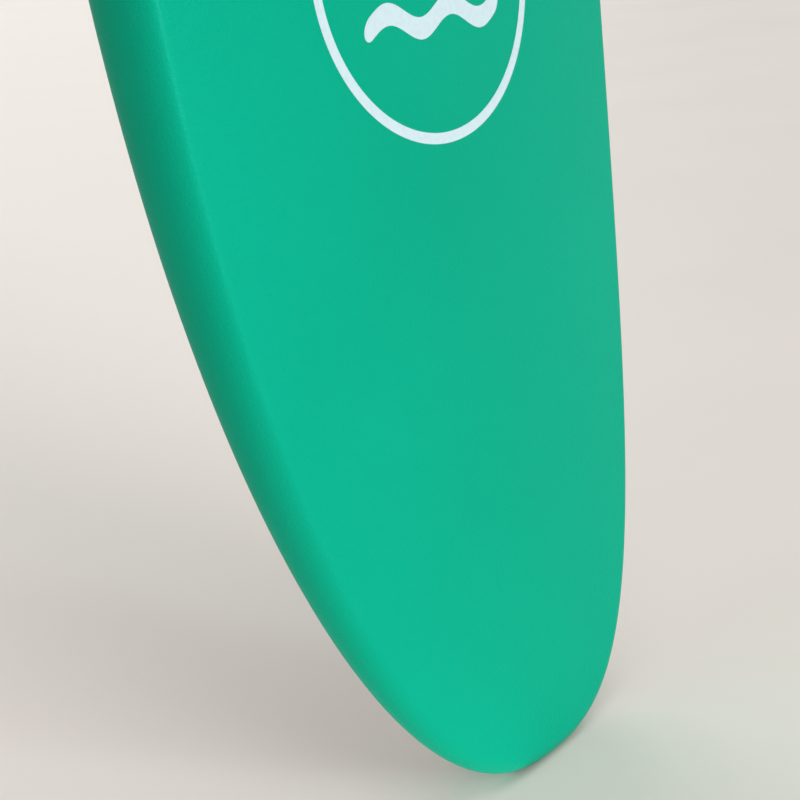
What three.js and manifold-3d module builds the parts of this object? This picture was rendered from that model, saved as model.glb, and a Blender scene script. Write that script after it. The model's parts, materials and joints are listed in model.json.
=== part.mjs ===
// A soft-top surfboard, 6 ft 6 in long, standing on its nose with its deck towards -Y.
// Units are millimetres. +X is across the board, +Z runs from nose to tail.
//
// Board coordinates used throughout: u is the distance from the centreline, s the distance
// from the nose tip towards the tail, and w the height above the flat of the bottom, growing
// towards the deck. toFrame() turns (u, s, w) into the part's own x, y, z.
//
// The board is a foam core split by two timber stringers, wrapped in a soft deck skin that
// rolls over the rails, with a thin slick skin on the bottom. Three fins sit on two tabs each
// in boxes set into hard foam blocks, and each tab is held by a grub screw. The leash cup
// and its pin are let into the deck near the tail.

import * as THREE from 'three';
import Module from 'manifold-3d';
import { mergeVertices } from 'three/addons/utils/BufferGeometryUtils.js';

// ---- driving dimensions --------------------------------------------------------------

const LENGTH = 1981;
const HALF_WIDTH = 280;
const WIDE_POINT = 890; // from the nose tip
const NOSE_OUTLINE = { along: 2.31, across: 2.455 }; // exponents of the outline curve
const TAIL_OUTLINE = { along: 2.0, across: 2.7 };

const NOSE_ROCKER = { height: 121, reach: 1000, power: 2.45 };
const TAIL_ROCKER = { height: 42, reach: 700, power: 2.2 };

const EDGE_THICKNESS = { nose: 32, middle: 66, tail: 34 }; // at the rail, without the crown
const THICKNESS_REACH = { nose: 1000, tail: 900, power: 2.2 };
const DECK_CROWN = 20;

const RAIL_ROLL = 16; // horizontal radius of the deck edge
const RAIL_TUCK = 19; // horizontal radius of the bottom edge
const RAIL_APEX = 0.5; // height of the widest point, as a share of the edge thickness

const GAP = 0.3; // clearance between touching pieces
const DECK_SKIN = 5;
const BOTTOM_SKIN = 2;
const SEAM_INSET = 25; // where the deck skin ends on the bottom, from the outline

const STRINGER = { offset: 70, thickness: 4 };

const BOTTOM_PLANE_Y = 25; // where w = 0 lies, so that the box of the whole board is centred

// ---- fins and their boxes ------------------------------------------------------------

const FIN = { base: 112, depth: 115, arc: 104, rake: 22, hollow: 14, thickness: 7 };
const FIN_TIP_THINNING = 0.75;
const INNER_FACE = { side: 0.12, centre: 0.5 }; // share of the thickness on the inner face
const FOIL = { rise: 0.5, fall: 0.9 }; // exponents of the foil section
const TAB = { length: 25, thickness: 6.4, depth: 13, spread: 32 };
const BOX = { length: 128, width: 32, depth: 18, corner: 15 };
const BLOCK_MARGIN = 5;
const BLOCK_DEPTH = 22;
const SCREW = { radius: 2.5, length: 6.5, tilt: 40 * Math.PI / 180, socket: 1.45, socketDepth: 3 };
const SCREW_END = 0.55; // how deep its end sits, as a share of the tab's depth
const SCREW_SIDES = 12;
const SCREW_ROOM = 0.35; // round a screw, a little over the gap as the hole has flat sides

const FINS = [
  { name: 'left', u: -160, s: 1645, toe: 2.5 * Math.PI / 180, cant: 6 * Math.PI / 180 },
  { name: 'right', u: 160, s: 1645, toe: 2.5 * Math.PI / 180, cant: 6 * Math.PI / 180 },
  { name: 'centre', u: 0, s: 1825, toe: 0, cant: 0 },
];

// ---- leash cup -----------------------------------------------------------------------

const CUP = { s: 1926, flange: 15, body: 12, bore: 9.6, depth: 20, floor: 3, lip: 2.4 };
const CUP_TAPER = 0.4; // how much the bore narrows downwards
const CUP_CHAMFER = { width: 3, height: 3 }; // where the bore meets its floor
const PIN = { radius: 1.6, depth: 5.5 };
const CUP_BLOCK = { radius: 20, depth: 26 };
const CUP_SIDES = 24;

// ---- colours -------------------------------------------------------------------------

const LOOK = {
  deck: { color: 0x00b18a, roughness: 0.62, metalness: 0 },
  slick: { color: 0xe9ecec, roughness: 0.3, metalness: 0 },
  foam: { color: 0xf3f3ee, roughness: 0.9, metalness: 0 },
  timber: { color: 0xc9a878, roughness: 0.7, metalness: 0 },
  hardFoam: { color: 0xd8cfae, roughness: 0.85, metalness: 0 },
  box: { color: 0xdfe3e4, roughness: 0.45, metalness: 0 },
  fin: { color: 0x1f2326, roughness: 0.5, metalness: 0 },
  steel: { color: 0xb9bdc0, roughness: 0.3, metalness: 1 },
};

// ---- the library for joins and cuts --------------------------------------------------

const wasm = await Module();
wasm.setup();

function toSolid(geometry) {
  const bare = geometry.clone();
  bare.deleteAttribute('normal');
  bare.deleteAttribute('uv');
  const merged = mergeVertices(bare, 1e-4);
  const vertProperties = new Float32Array(merged.attributes.position.array);
  const triVerts = new Uint32Array(merged.index.array);
  return new wasm.Manifold(new wasm.Mesh({ numProp: 3, vertProperties, triVerts }));
}

function toGeometry(solid) {
  const mesh = solid.getMesh();
  const geometry = new THREE.BufferGeometry();
  geometry.setAttribute('position', new THREE.BufferAttribute(mesh.vertProperties, 3));
  geometry.setIndex(new THREE.BufferAttribute(mesh.triVerts, 1));
  geometry.computeVertexNormals();
  return geometry;
}

const subtractAll = (solid, tools) => tools.reduce((rest, tool) => rest.subtract(tool), solid);

// ---- the board's shape ---------------------------------------------------------------

const toFrame = (u, s, w) => new THREE.Vector3(u, BOTTOM_PLANE_Y - w, s);

// Share of the way from the end of a curved reach (0) to the nose or tail tip (1).
const share = (distance, reach) => Math.min(1, Math.max(0, 1 - distance / reach));

function bottomHeight(s) {
  const nose = share(s, NOSE_ROCKER.reach) ** NOSE_ROCKER.power;
  const tail = share(LENGTH - s, TAIL_ROCKER.reach) ** TAIL_ROCKER.power;
  return NOSE_ROCKER.height * nose + TAIL_ROCKER.height * tail;
}

function edgeThickness(s) {
  const { middle, nose, tail } = EDGE_THICKNESS;
  const towardsNose = share(s, THICKNESS_REACH.nose) ** THICKNESS_REACH.power;
  const towardsTail = share(LENGTH - s, THICKNESS_REACH.tail) ** THICKNESS_REACH.power;
  return middle - (middle - nose) * towardsNose - (middle - tail) * towardsTail;
}

// The outline as points from the nose tip to the tail tip. Angle 0 is a tip and 90 degrees
// the wide point, so the points gather where the outline turns.
function outlinePoint(tip, angle, exponents, reach) {
  const along = reach * (1 - Math.max(0, Math.cos(angle)) ** (2 / exponents.along));
  const across = HALF_WIDTH * Math.sin(angle) ** (2 / exponents.across);
  return { u: across, s: tip === 'nose' ? along : LENGTH - along };
}

function outline() {
  const quarter = Math.PI / 2;
  const nose = NOSE_ANGLES.map((a) => outlinePoint('nose', a * quarter, NOSE_OUTLINE, WIDE_POINT));
  const tail = TAIL_ANGLES.map((a) => {
    return outlinePoint('tail', a * quarter, TAIL_OUTLINE, LENGTH - WIDE_POINT);
  });
  return [...nose, ...tail.reverse().slice(1)];
}

// Shares of a right angle at which the outline has its points.
const NOSE_ANGLES = [0, 0.05, 0.11, 0.18, 0.25, 0.32, 0.39, 0.46, 0.53, 0.6, 0.67, 0.74, 0.82, 0.91, 1];
const TAIL_ANGLES = [0, 0.035, 0.08, 0.14, 0.21, 0.28, 0.36, 0.44, 0.52, 0.6, 0.69, 0.79, 0.89, 1];

// Each outline point with its outward direction; the two tips point straight along s.
function outlineWithNormals() {
  const points = outline();
  const last = points.length - 1;
  return points.map((point, i) => {
    if (i === 0) return { ...point, nu: 0, ns: -1 };
    if (i === last) return { ...point, nu: 0, ns: 1 };
    const du = points[i + 1].u - points[i - 1].u;
    const ds = points[i + 1].s - points[i - 1].s;
    const size = Math.hypot(du, ds);
    return { ...point, nu: ds / size, ns: -du / size };
  });
}

const OUTLINE = outlineWithNormals();

// One rib runs round the board from the deck centreline over the rail to the bottom
// centreline. Each row of the profile is an inset from the outline, a share of the way out
// from the centreline, and a height. Ribs at the tips fold flat, which closes the solid.
function ribPoint(station, row, side) {
  const u = Math.max(0, station.u - station.nu * row.inset) * row.spread * side;
  const s = station.s - station.ns * row.inset;
  return toFrame(u, s, row.height(s, station.u - station.nu * row.inset, row.spread));
}

function loftAlongOutline(rows) {
  const ribs = OUTLINE.map((station) => {
    const right = rows.map((row) => ribPoint(station, row, 1));
    const left = rows.slice(1, -1).reverse().map((row) => ribPoint(station, row, -1));
    return [...right, ...left];
  });
  const positions = [];
  const addTriangle = (a, b, c) => {
    const area = b.clone().sub(a).cross(c.clone().sub(a)).length();
    if (area > 1e-6) positions.push(...a.toArray(), ...b.toArray(), ...c.toArray());
  };
  for (let i = 0; i < ribs.length - 1; i += 1) {
    for (let j = 0; j < ribs[i].length; j += 1) {
      const next = (j + 1) % ribs[i].length;
      addTriangle(ribs[i][j], ribs[i][next], ribs[i + 1][next]);
      addTriangle(ribs[i][j], ribs[i + 1][next], ribs[i + 1][j]);
    }
  }
  const geometry = new THREE.BufferGeometry();
  geometry.setAttribute('position', new THREE.Float32BufferAttribute(positions, 3));
  return toSolid(geometry);
}

const DECK_SPREADS = [0, 0.25, 0.5, 0.72, 0.88];
// The roll starts just short of level, so that it meets the crowned deck without a crease.
const ROLL_START = 86 * Math.PI / 180;
const ROLL_SHARES = [1, 0.75, 0.5, 0.25, 0];
const TUCK_ANGLES = [30, 60, 90].map((degrees) => degrees * Math.PI / 180);
const BOTTOM_SPREADS = [0.6, 0];

// The board's full shape, drawn in by one amount at the rails and deck and another at the
// bottom. The centres of the rail curves stay where they are.
function boardSolid(drawIn, bottomDrawIn) {
  const roll = RAIL_ROLL - drawIn;
  const tuck = RAIL_TUCK - drawIn;
  const apex = (s) => bottomHeight(s) + RAIL_APEX * edgeThickness(s);
  const above = (s) => (1 - RAIL_APEX) * edgeThickness(s) - drawIn;
  const below = (s) => RAIL_APEX * edgeThickness(s) - bottomDrawIn;
  const crown = (edge, spread) => DECK_CROWN * (edge / HALF_WIDTH) ** 2 * (1 - spread * spread);
  const level = (s) => apex(s) + above(s) * Math.sin(ROLL_START);
  const deckRows = DECK_SPREADS.map((spread) => ({
    inset: drawIn + roll * (1 - Math.cos(ROLL_START)),
    spread,
    height: (s, edge) => level(s) + crown(Math.max(0, edge), spread),
  }));
  const rollRows = ROLL_SHARES.map((part) => part * ROLL_START).map((angle) => ({
    inset: drawIn + roll * (1 - Math.cos(angle)),
    spread: 1,
    height: (s) => apex(s) + above(s) * Math.sin(angle),
  }));
  const tuckRows = TUCK_ANGLES.map((angle) => ({
    inset: drawIn + tuck * (1 - Math.cos(angle)),
    spread: 1,
    height: (s) => apex(s) - below(s) * Math.sin(angle),
  }));
  const bottomRows = BOTTOM_SPREADS.map((spread) => ({
    inset: RAIL_TUCK,
    spread,
    height: (s) => bottomHeight(s) + bottomDrawIn,
  }));
  return loftAlongOutline([...deckRows, ...rollRows, ...tuckRows, ...bottomRows]);
}

// A slab that follows the bottom and the outline, for parting the skins at their seam.
function seamSolid(inset) {
  const above = 10;
  const below = 8;
  const row = (spread, rise) => ({ inset, spread, height: (s) => bottomHeight(s) + rise });
  return loftAlongOutline([row(0, above), row(1, above), row(1, -below), row(0, -below)]);
}

// ---- places on the board -------------------------------------------------------------

// A turned frame on the bottom: x points to the tail, y towards +X and z out of the bottom.
// Toe turns the front of a side fin towards the centreline.
function bottomPlace(u, s, toe) {
  const step = 1;
  const slope = (bottomHeight(s + step) - bottomHeight(s - step)) / (2 * step);
  const out = toFrame(0, slope, -1).sub(toFrame(0, 0, 0)).normalize();
  const tail = toFrame(0, 1, slope).sub(toFrame(0, 0, 0)).normalize();
  const across = new THREE.Vector3().crossVectors(out, tail);
  const place = new THREE.Matrix4().makeBasis(tail, across, out);
  place.multiply(new THREE.Matrix4().makeRotationZ(Math.sign(u) * toe));
  return place.setPosition(toFrame(u, s, bottomHeight(s)));
}

// A frame on the deck centreline: z points out of the deck and x across the board.
function deckPlace(s) {
  const levelShare = RAIL_APEX + (1 - RAIL_APEX) * Math.sin(ROLL_START);
  const level = (t) => bottomHeight(t) + levelShare * edgeThickness(t);
  const height = (t) => level(t) + DECK_CROWN * cupCrownShare(t);
  const step = 1;
  const slope = (height(s + step) - height(s - step)) / (2 * step);
  const out = toFrame(0, -slope, 1).sub(toFrame(0, 0, 0)).normalize();
  const across = new THREE.Vector3(1, 0, 0);
  const along = new THREE.Vector3().crossVectors(out, across);
  const place = new THREE.Matrix4().makeBasis(across, along, out);
  return place.setPosition(toFrame(0, s, height(s)));
}

// How much of the full crown the deck has at s, read from the outline's edge there.
function cupCrownShare(s) {
  const inset = RAIL_ROLL * (1 - Math.cos(ROLL_START));
  const edges = OUTLINE.map((p) => ({ s: p.s - p.ns * inset, u: p.u - p.nu * inset }));
  const after = edges.findIndex((edge) => edge.s > s);
  const [a, b] = [edges[after - 1], edges[after]];
  return ((a.u + (b.u - a.u) * (s - a.s) / (b.s - a.s)) / HALF_WIDTH) ** 2;
}

// ---- small shapes --------------------------------------------------------------------

function roundedBar(length, width, depth, corner) {
  const shape = new THREE.Shape();
  const x = length / 2 - corner;
  const y = width / 2 - corner;
  shape.absarc(x, -y, corner, -Math.PI / 2, 0);
  shape.absarc(x, y, corner, 0, Math.PI / 2);
  shape.absarc(-x, y, corner, Math.PI / 2, Math.PI);
  shape.absarc(-x, -y, corner, Math.PI, 1.5 * Math.PI);
  const bar = new THREE.ExtrudeGeometry(shape, { depth, bevelEnabled: false, curveSegments: 6 });
  return bar.translate(0, 0, -depth);
}

// A cylinder along z with its top at z = 0.
function plugCylinder(radius, depth, sides) {
  const cylinder = new THREE.CylinderGeometry(radius, radius, depth, sides);
  return cylinder.rotateX(Math.PI / 2).translate(0, 0, -depth / 2);
}

const tabCentres = [-TAB.spread, TAB.spread];

// ---- fin, its box and its screws, each in its own turned frame -----------------------

// The fin's edges at a height share t: the leading edge is part of an ellipse leaned back
// by the rake, and the trailing edge is hollowed.
function finEdges(angle) {
  const t = Math.sin(angle);
  const front = -FIN.base / 2 + FIN.arc * (1 - Math.cos(angle)) + FIN.rake * t;
  const back = FIN.base / 2 - FIN.hollow * Math.sin(Math.PI * t) + (FIN.arc + FIN.rake - FIN.base) * t;
  return { t, front, back };
}

// Half thickness of the foil at a share of the chord, 1 at its thickest.
function foilShare(chordShare) {
  const peak = FOIL.rise / (FOIL.rise + FOIL.fall);
  const shape = (x) => x ** FOIL.rise * (1 - x) ** FOIL.fall;
  return shape(chordShare) / shape(peak);
}

function finSection(angle, cant, flatSide) {
  const { t, front, back } = finEdges(angle);
  const thickness = FIN.thickness * (1 - FIN_TIP_THINNING * t);
  const z = GAP + FIN.depth * t;
  const lean = Math.tan(cant) * z;
  const inner = flatSide ? INNER_FACE.side : INNER_FACE.centre;
  const point = (x, y) => new THREE.Vector3(front + (back - front) * x, y + lean, z);
  const outerSide = FOIL_SHARES.map((x) => point(x, foilShare(x) * thickness * (1 - inner)));
  const innerSide = FOIL_SHARES.slice(1, -1).reverse();
  return [...outerSide, ...innerSide.map((x) => point(x, -foilShare(x) * thickness * inner))];
}

const FOIL_SHARES = [0, 0.06, 0.2, 0.42, 0.66, 0.86, 1];
const FIN_ANGLES = [0, 0.16, 0.32, 0.47, 0.61, 0.74, 0.86, 0.95].map((a) => a * Math.PI / 2);

function finSolid(fin) {
  const sections = FIN_ANGLES.map((angle) => finSection(angle, fin.cant, fin.cant > 0));
  const { front, back } = finEdges(Math.PI / 2);
  const tipHeight = GAP + FIN.depth;
  const tip = new THREE.Vector3((front + back) / 2, Math.tan(fin.cant) * tipHeight, tipHeight);
  const positions = [];
  const add = (...corners) => corners.forEach((corner) => positions.push(...corner.toArray()));
  const count = sections[0].length;
  for (let j = 0; j < count; j += 1) {
    const next = (j + 1) % count;
    for (let i = 0; i < sections.length - 1; i += 1) {
      add(sections[i][j], sections[i + 1][next], sections[i][next]);
      add(sections[i][j], sections[i + 1][j], sections[i + 1][next]);
    }
    add(sections.at(-1)[j], tip, sections.at(-1)[next]);
    if (j > 0 && next > 0) add(sections[0][0], sections[0][j], sections[0][next]);
  }
  const blade = new THREE.BufferGeometry();
  blade.setAttribute('position', new THREE.Float32BufferAttribute(positions, 3));
  const overlap = 1.5; // how far a tab reaches up into the blade
  const tabs = tabCentres.map((x) => {
    const tab = new THREE.BoxGeometry(TAB.length, TAB.thickness, TAB.depth + GAP + overlap);
    return toSolid(tab.translate(x, 0, (overlap + GAP - TAB.depth) / 2));
  });
  return tabs.reduce((whole, tab) => whole.add(tab), toSolid(blade));
}

// The screw leans towards its tab, and its end stops just short of the tab's side.
function screwPlace(x) {
  const reach = SCREW.radius * Math.cos(SCREW.tilt);
  const endY = TAB.thickness / 2 + GAP + reach;
  const endZ = -TAB.depth * SCREW_END;
  const lean = new THREE.Matrix4().makeRotationX(-SCREW.tilt);
  return new THREE.Matrix4().makeTranslation(x, endY, endZ).multiply(lean);
}

function screwSolid(x) {
  const body = plugCylinder(SCREW.radius, SCREW.length, SCREW_SIDES).translate(0, 0, SCREW.length);
  const socket = plugCylinder(SCREW.socket, SCREW.socketDepth + 1, 6).translate(0, 0, SCREW.length + 1);
  const screw = toSolid(body).subtract(toSolid(socket));
  return toSolid(toGeometry(screw).applyMatrix4(screwPlace(x)));
}

function screwHole(x) {
  const length = 3 * SCREW.length;
  const hole = plugCylinder(SCREW.radius + SCREW_ROOM, length, SCREW_SIDES);
  hole.translate(0, 0, length - GAP);
  return toSolid(hole.applyMatrix4(screwPlace(x)));
}

function boxSolid() {
  const body = toSolid(roundedBar(BOX.length, BOX.width, BOX.depth, BOX.corner));
  const pockets = tabCentres.map((x) => {
    const room = 2 * GAP;
    const pocket = new THREE.BoxGeometry(TAB.length + room, TAB.thickness + room, 2 * TAB.depth + room);
    return toSolid(pocket.translate(x, 0, 0));
  });
  return subtractAll(body, [...pockets, ...tabCentres.map(screwHole)]);
}

function boxCutter(clearance, depth, above) {
  const bar = roundedBar(
    BOX.length + 2 * clearance,
    BOX.width + 2 * clearance,
    depth + above,
    BOX.corner + clearance,
  );
  return toSolid(bar.translate(0, 0, above));
}

// ---- leash cup and pin, in the deck frame --------------------------------------------

function cupSolid() {
  const { flange, body, bore, depth, floor, lip } = CUP;
  const profile = [
    [0, -depth],
    [body, -depth],
    [body, -lip],
    [flange, -lip / 2],
    [flange, 0],
    [bore, 0],
    [bore - CUP_TAPER, -depth + floor + CUP_CHAMFER.height],
    [bore - CUP_CHAMFER.width, -depth + floor],
    [0, -depth + floor],
  ].map(([x, y]) => new THREE.Vector2(x, y));
  const cup = new THREE.LatheGeometry(profile, CUP_SIDES).rotateX(Math.PI / 2);
  return toSolid(cup).subtract(pinCylinder(PIN.radius + GAP, 2 * body + 2));
}

function pinCylinder(radius, length) {
  const pin = new THREE.CylinderGeometry(radius, radius, length, SCREW_SIDES).rotateZ(Math.PI / 2);
  return toSolid(pin.translate(0, 0, -PIN.depth));
}

// ---- assembly ------------------------------------------------------------------------

const board = new THREE.Group();

function addPiece(name, solid, look, place = new THREE.Matrix4()) {
  const mesh = new THREE.Mesh(toGeometry(solid), new THREE.MeshStandardMaterial(look));
  mesh.name = name;
  mesh.applyMatrix4(place);
  board.add(mesh);
}

const placed = (solid, place) => toSolid(toGeometry(solid).applyMatrix4(place));

const finPlaces = FINS.map((fin) => bottomPlace(fin.u, fin.s, fin.toe));
const cupPlace = deckPlace(CUP.s);
const deepEnough = 8; // cutters pass this far out through a skin

function slabBetween(uLow, uHigh) {
  const slab = new THREE.BoxGeometry(uHigh - uLow, 4 * HALF_WIDTH, 2 * LENGTH);
  return toSolid(slab.translate((uLow + uHigh) / 2, 0, LENGTH / 2));
}

function addSkins() {
  const shell = boardSolid(0, 0).subtract(boardSolid(DECK_SKIN, BOTTOM_SKIN));
  const boxHoles = finPlaces.map((place) => placed(boxCutter(GAP, BOX.depth, deepEnough), place));
  const flangeDepth = CUP.lip + GAP + deepEnough;
  const cupHoles = [
    toSolid(plugCylinder(CUP.body + GAP, CUP.depth, CUP_SIDES)),
    toSolid(plugCylinder(CUP.flange + GAP, flangeDepth, CUP_SIDES).translate(0, 0, deepEnough)),
  ].map((hole) => placed(hole, cupPlace));
  const deckSkin = subtractAll(shell.subtract(seamSolid(SEAM_INSET - GAP)), cupHoles);
  const bottomSkin = subtractAll(shell.intersect(seamSolid(SEAM_INSET)), boxHoles);
  addPiece('deck_skin', deckSkin, LOOK.deck);
  addPiece('bottom_skin', bottomSkin, LOOK.slick);
}

function addCore() {
  const core = boardSolid(DECK_SKIN + GAP, BOTTOM_SKIN + GAP);
  const blockRooms = finPlaces.map((place) => {
    return placed(boxCutter(BLOCK_MARGIN + GAP, BLOCK_DEPTH + BOTTOM_SKIN + GAP, deepEnough), place);
  });
  const cupRoomDepth = CUP_BLOCK.depth + DECK_SKIN + GAP + deepEnough;
  const cupRoom = plugCylinder(CUP_BLOCK.radius + GAP, cupRoomDepth, CUP_SIDES);
  const rooms = [...blockRooms, placed(toSolid(cupRoom.translate(0, 0, deepEnough)), cupPlace)];
  const foam = subtractAll(core, rooms);
  const inner = STRINGER.offset - STRINGER.thickness / 2;
  const outer = STRINGER.offset + STRINGER.thickness / 2;
  const far = 2 * HALF_WIDTH;
  const slices = [
    ['core_left', -far, -outer - GAP, foam, LOOK.foam],
    ['stringer_left', -outer, -inner, core, LOOK.timber],
    ['core_centre', -inner + GAP, inner - GAP, foam, LOOK.foam],
    ['stringer_right', inner, outer, core, LOOK.timber],
    ['core_right', outer + GAP, far, foam, LOOK.foam],
  ];
  slices.forEach(([name, low, high, solid, look]) => {
    addPiece(name, solid.intersect(slabBetween(low, high)), look);
  });
  return core;
}

function addFinSet(core) {
  FINS.forEach((fin, i) => {
    const place = finPlaces[i];
    const facingOut = (solid) => (fin.u < 0 ? solid.mirror([0, 1, 0]) : solid);
    const blockRoom = boxCutter(GAP, BOX.depth + GAP, deepEnough);
    const blockBody = boxCutter(BLOCK_MARGIN, BLOCK_DEPTH + BOTTOM_SKIN, deepEnough).subtract(blockRoom);
    const block = placed(blockBody, place).intersect(core);
    addPiece(`fin_block_${fin.name}`, block, LOOK.hardFoam);
    addPiece(`fin_box_${fin.name}`, facingOut(boxSolid()), LOOK.box, place);
    addPiece(`fin_${fin.name}`, facingOut(finSolid(fin)), LOOK.fin, place);
    tabCentres.forEach((x) => {
      const end = x < 0 ? 'front' : 'back';
      addPiece(`fin_screw_${fin.name}_${end}`, facingOut(screwSolid(x)), LOOK.steel, place);
    });
  });
}

function addLeashCup(core) {
  const room = plugCylinder(CUP.body + GAP, CUP.depth + GAP, CUP_SIDES);
  const body = plugCylinder(CUP_BLOCK.radius, CUP_BLOCK.depth + DECK_SKIN, CUP_SIDES);
  const block = placed(toSolid(body).subtract(toSolid(room)), cupPlace).intersect(core);
  addPiece('leash_block', block, LOOK.hardFoam);
  addPiece('leash_cup', cupSolid(), LOOK.box, cupPlace);
  addPiece('leash_pin', pinCylinder(PIN.radius, 2 * CUP.body - 1), LOOK.steel, cupPlace);
}

addSkins();
const core = addCore();
addFinSet(core);
addLeashCup(core);

export default board;
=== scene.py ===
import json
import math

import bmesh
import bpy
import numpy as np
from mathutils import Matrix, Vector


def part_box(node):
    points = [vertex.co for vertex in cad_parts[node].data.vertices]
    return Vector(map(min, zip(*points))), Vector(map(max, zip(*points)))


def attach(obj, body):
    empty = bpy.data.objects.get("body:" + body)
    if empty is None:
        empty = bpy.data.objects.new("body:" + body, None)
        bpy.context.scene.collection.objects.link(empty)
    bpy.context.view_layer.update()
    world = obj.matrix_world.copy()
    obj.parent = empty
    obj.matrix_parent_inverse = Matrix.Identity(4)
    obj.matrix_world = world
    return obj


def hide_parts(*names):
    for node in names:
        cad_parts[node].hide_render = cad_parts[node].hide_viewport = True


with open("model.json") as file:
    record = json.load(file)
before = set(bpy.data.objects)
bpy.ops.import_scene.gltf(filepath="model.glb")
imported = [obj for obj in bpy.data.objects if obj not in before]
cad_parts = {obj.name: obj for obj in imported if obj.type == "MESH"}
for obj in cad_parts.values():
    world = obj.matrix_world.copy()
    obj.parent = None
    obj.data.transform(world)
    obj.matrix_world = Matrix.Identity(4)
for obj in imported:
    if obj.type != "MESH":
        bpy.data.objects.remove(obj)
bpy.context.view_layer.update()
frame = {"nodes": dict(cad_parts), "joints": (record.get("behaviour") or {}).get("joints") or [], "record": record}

# Looks for a soft-top surfboard that stands on its nose with its deck towards -Y.
#
# Board coordinates, in metres: u runs across the board, s from the nose tip to the tail, and
# w is the height above the flat of the bottom, growing towards the deck. The board's shape
# follows the same curves as the CAD model, at a much finer step. Its size and the places of
# the fins, boxes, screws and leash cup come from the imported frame: its boxes, mounts and joint
# axes.

MM = 0.001

# ---- places from the frame -----------------------------------------------------------------

MOUNTS = {mount["name"]: mount for mount in frame["record"]["mounts"]}
JOINTS = {joint["name"]: joint for joint in frame["joints"]}
SKIN_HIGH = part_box("deck_skin")[1]
LENGTH = SKIN_HIGH.z
HALF_WIDTH = SKIN_HIGH.x
BOTTOM_Y = MOUNTS["bottom_rest"]["pos_m"][1]
CUP_LOW, CUP_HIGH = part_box("leash_cup")
CUP_S = (CUP_LOW.z + CUP_HIGH.z) / 2

# ---- the board's curves, as in the CAD model -----------------------------------------------

WIDE_POINT = 890 * MM
NOSE_OUTLINE = (2.31, 2.455)
TAIL_OUTLINE = (2.0, 2.7)
NOSE_ROCKER = (121 * MM, 1000 * MM, 2.45)
TAIL_ROCKER = (42 * MM, 700 * MM, 2.2)
THICKNESS_NOSE = 32 * MM
THICKNESS_MIDDLE = 66 * MM
THICKNESS_TAIL = 34 * MM
THICKNESS_REACH = (1000 * MM, 900 * MM, 2.2)
DECK_CROWN = 20 * MM
RAIL_ROLL = 16 * MM
RAIL_TUCK = 19 * MM
RAIL_APEX = 0.5
ROLL_START = math.radians(86)
DECK_SKIN = 5 * MM
BOTTOM_SKIN = 2 * MM
SEAM_INSET = 25 * MM
GAP = 0.3 * MM

# ---- colours, linear ------------------------------------------------------------------------

GREEN = (0.0, 0.335, 0.203)
INK = (0.51, 0.62, 0.65)
SLICK_WHITE = (0.80, 0.815, 0.82)
BOX_GREY = (0.62, 0.64, 0.64)
CHARCOAL = (0.018, 0.021, 0.024)
STEEL = (0.58, 0.58, 0.57)
FLOOR = (0.65, 0.605, 0.56)


def bottom_height(s):
    """Height of the bottom surface: flat in the middle, lifted towards both tips."""
    nose = np.clip(1 - s / NOSE_ROCKER[1], 0, 1) ** NOSE_ROCKER[2]
    tail = np.clip(1 - (LENGTH - s) / TAIL_ROCKER[1], 0, 1) ** TAIL_ROCKER[2]
    return NOSE_ROCKER[0] * nose + TAIL_ROCKER[0] * tail


def edge_thickness(s):
    """Thickness at the rail, without the deck's crown."""
    power = THICKNESS_REACH[2]
    nose = np.clip(1 - s / THICKNESS_REACH[0], 0, 1) ** power
    tail = np.clip(1 - (LENGTH - s) / THICKNESS_REACH[1], 0, 1) ** power
    thinning = (THICKNESS_MIDDLE - THICKNESS_NOSE) * nose + (THICKNESS_MIDDLE - THICKNESS_TAIL) * tail
    return THICKNESS_MIDDLE - thinning


def to_frame(u, s, w):
    """Board coordinates to the shared frame."""
    return np.stack([u, BOTTOM_Y - w, s], axis=-1)


TIP_CROWDING = 1.25  # draws the outline's steps together towards the two tips


def outline(steps):
    """Half of the outline from nose tip to tail tip: u, s and the outward direction at each."""
    angle = (np.linspace(0, 1, steps) ** TIP_CROWDING) * math.pi / 2

    def quarter(exponents, reach):
        along, across = exponents
        s = reach * (1 - np.clip(np.cos(angle), 0, 1) ** (2 / along))
        return HALF_WIDTH * np.sin(angle) ** (2 / across), s

    nose_u, nose_s = quarter(NOSE_OUTLINE, WIDE_POINT)
    tail_u, tail_s = quarter(TAIL_OUTLINE, LENGTH - WIDE_POINT)
    u = np.concatenate([nose_u, tail_u[::-1][1:]])
    s = np.concatenate([nose_s, LENGTH - tail_s[::-1][1:]])
    du = np.empty_like(u)
    ds = np.empty_like(s)
    du[1:-1] = u[2:] - u[:-2]
    ds[1:-1] = s[2:] - s[:-2]
    du[0], ds[0] = 1, 0
    du[-1], ds[-1] = -1, 0
    size = np.hypot(du, ds)
    u[0] = u[-1] = 0
    return u, s, ds / size, -du / size


OUTLINE_STEPS = 120
OUT_U, OUT_S, OUT_NU, OUT_NS = outline(OUTLINE_STEPS)
DECK_EDGE_INSET = RAIL_ROLL * (1 - math.cos(ROLL_START))
DECK_EDGE_U = np.maximum(OUT_U - OUT_NU * DECK_EDGE_INSET, 0)
DECK_EDGE_S = OUT_S - OUT_NS * DECK_EDGE_INSET


def deck_height(u, s):
    """Height of the finished deck at a place inside its rolled edge."""
    edge = np.interp(s, DECK_EDGE_S, DECK_EDGE_U)
    thickness = edge_thickness(s)
    level = bottom_height(s) + thickness * (RAIL_APEX + (1 - RAIL_APEX) * math.sin(ROLL_START))
    return level + DECK_CROWN * (edge / HALF_WIDTH) ** 2 * (1 - (u / edge) ** 2)


# ---- mesh helpers ---------------------------------------------------------------------------

SMOOTH_LIMIT = math.radians(38)
MERGE_DISTANCE = 1e-6


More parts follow.
